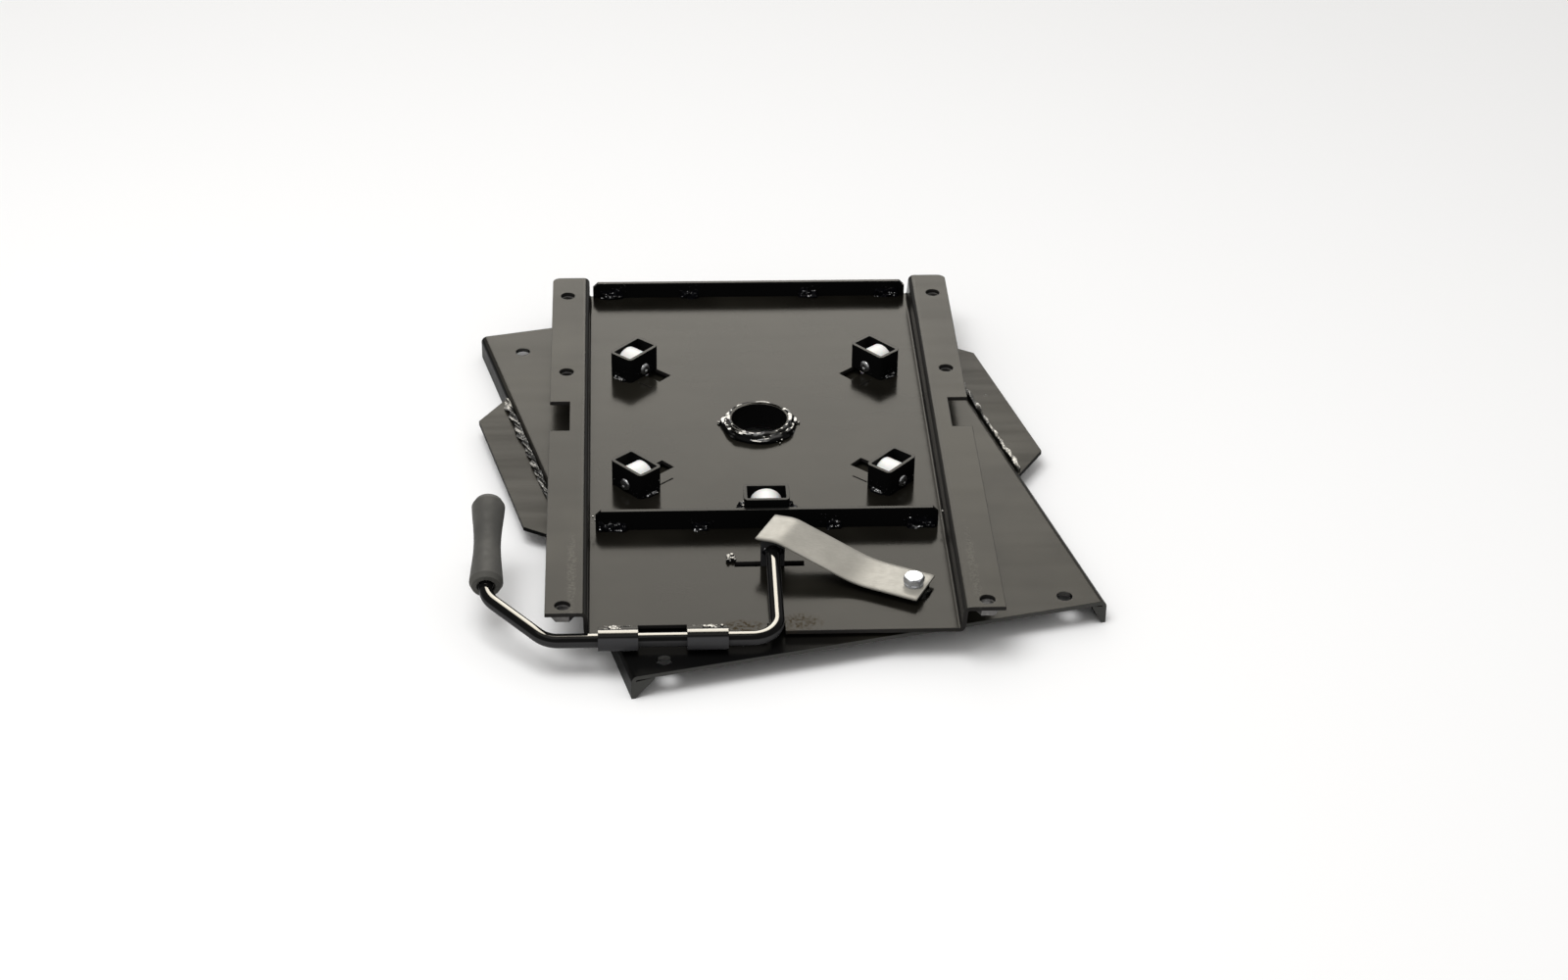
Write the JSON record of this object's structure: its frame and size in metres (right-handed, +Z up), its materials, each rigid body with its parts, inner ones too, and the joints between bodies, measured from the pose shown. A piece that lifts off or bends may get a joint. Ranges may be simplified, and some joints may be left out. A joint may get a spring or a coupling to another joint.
{
  "type": "seat base adapter",
  "caption": "Swivel seat base adapter: a railed steel tray turns on a hub and rollers over a base plate, held by a sprung lever latch.",
  "frame": {"origin": "on the swivel axis, at the top face of the tray floor", "axes": "+Z up along the swivel axis, -Y to the front where the lever is, X across the seat rails"},
  "size_m": [0.448, 0.5472, 0.0666],
  "materials": {
    "black_paint": "glossy black powder coat",
    "weld_steel": "painted weld bead, rough and glossy",
    "zinc_steel": "bright zinc plate",
    "spring_steel": "bare satin spring steel",
    "nylon": "smooth white nylon",
    "grip_rubber": "soft dark grey rubber"
  },
  "bodies": {
    "base": {"base_plate": "black_paint", "wing_left": "black_paint", "wing_right": "black_paint", "wing_welds": "weld_steel"},
    "top": {"tray": "black_paint", "rail_left": "black_paint", "rail_right": "black_paint", "cross_wall_front": "black_paint", "cross_wall_rear": "black_paint", "wall_welds": "weld_steel", "hub_tube": "black_paint", "hub_weld": "weld_steel", "hub_ring": "black_paint", "box_rear_right": "black_paint", "box_rear_left": "black_paint", "box_front_left": "black_paint", "box_front_right": "black_paint", "box_front_middle": "black_paint", "axle_rear_right": "zinc_steel", "axle_rear_left": "zinc_steel", "axle_front_left": "zinc_steel", "axle_front_right": "zinc_steel", "axle_front_middle": "zinc_steel", "box_welds": "weld_steel", "weld_nuts": "zinc_steel", "clip_left": "black_paint", "clip_right": "black_paint", "clip_welds": "weld_steel", "slot_weld": "weld_steel", "spring_strap": "spring_steel", "spring_boss": "black_paint", "boss_weld": "weld_steel", "spring_bolt": "zinc_steel"},
    "lever": {"lever_bar": "black_paint", "lever_grip": "grip_rubber", "latch_blade": "black_paint", "blade_welds": "weld_steel"},
    "roller_rear_right": {"roller_rear_right": "nylon"},
    "roller_rear_left": {"roller_rear_left": "nylon"},
    "roller_front_left": {"roller_front_left": "nylon"},
    "roller_front_right": {"roller_front_right": "nylon"},
    "roller_front_middle": {"roller_front_middle": "nylon"}
  },
  "joints": [
    {"name": "swivel", "type": "hinge", "parent": "base", "child": "top", "pos_m": [0, 0, 0], "axis": [0, 0, 1], "continuous": true},
    {"name": "latch_lever", "type": "hinge", "parent": "top", "child": "lever", "pos_m": [0, -0.284, 0.0032], "axis": [1, 0, 0], "range_deg": [0, 15], "stiffness_Nm_per_rad": 3, "springref_deg": -17.19, "deforming": ["spring_strap"]},
    {"name": "spin_rear_right", "type": "hinge", "parent": "top", "child": "roller_rear_right", "pos_m": [0.09341, 0.08352, 0.006], "axis": [0.7455, 0.6665, 0], "continuous": true},
    {"name": "spin_rear_left", "type": "hinge", "parent": "top", "child": "roller_rear_left", "pos_m": [-0.09341, 0.08352, 0.006], "axis": [-0.7455, 0.6665, 0], "continuous": true},
    {"name": "spin_front_left", "type": "hinge", "parent": "top", "child": "roller_front_left", "pos_m": [-0.09341, -0.08352, 0.006], "axis": [-0.7455, -0.6665, 0], "continuous": true},
    {"name": "spin_front_right", "type": "hinge", "parent": "top", "child": "roller_front_right", "pos_m": [0.09341, -0.08352, 0.006], "axis": [0.7455, -0.6665, 0], "continuous": true},
    {"name": "spin_front_middle", "type": "hinge", "parent": "top", "child": "roller_front_middle", "pos_m": [0, -0.1253, 0.006], "axis": [0, -1, 0], "continuous": true}
  ],
  "couplings": [
    {"joint": "spin_rear_right", "follows": "swivel", "ratio": -10.442},
    {"joint": "spin_rear_left", "follows": "swivel", "ratio": -10.442},
    {"joint": "spin_front_left", "follows": "swivel", "ratio": -10.442},
    {"joint": "spin_front_right", "follows": "swivel", "ratio": -10.442},
    {"joint": "spin_front_middle", "follows": "swivel", "ratio": -10.442}
  ]
}
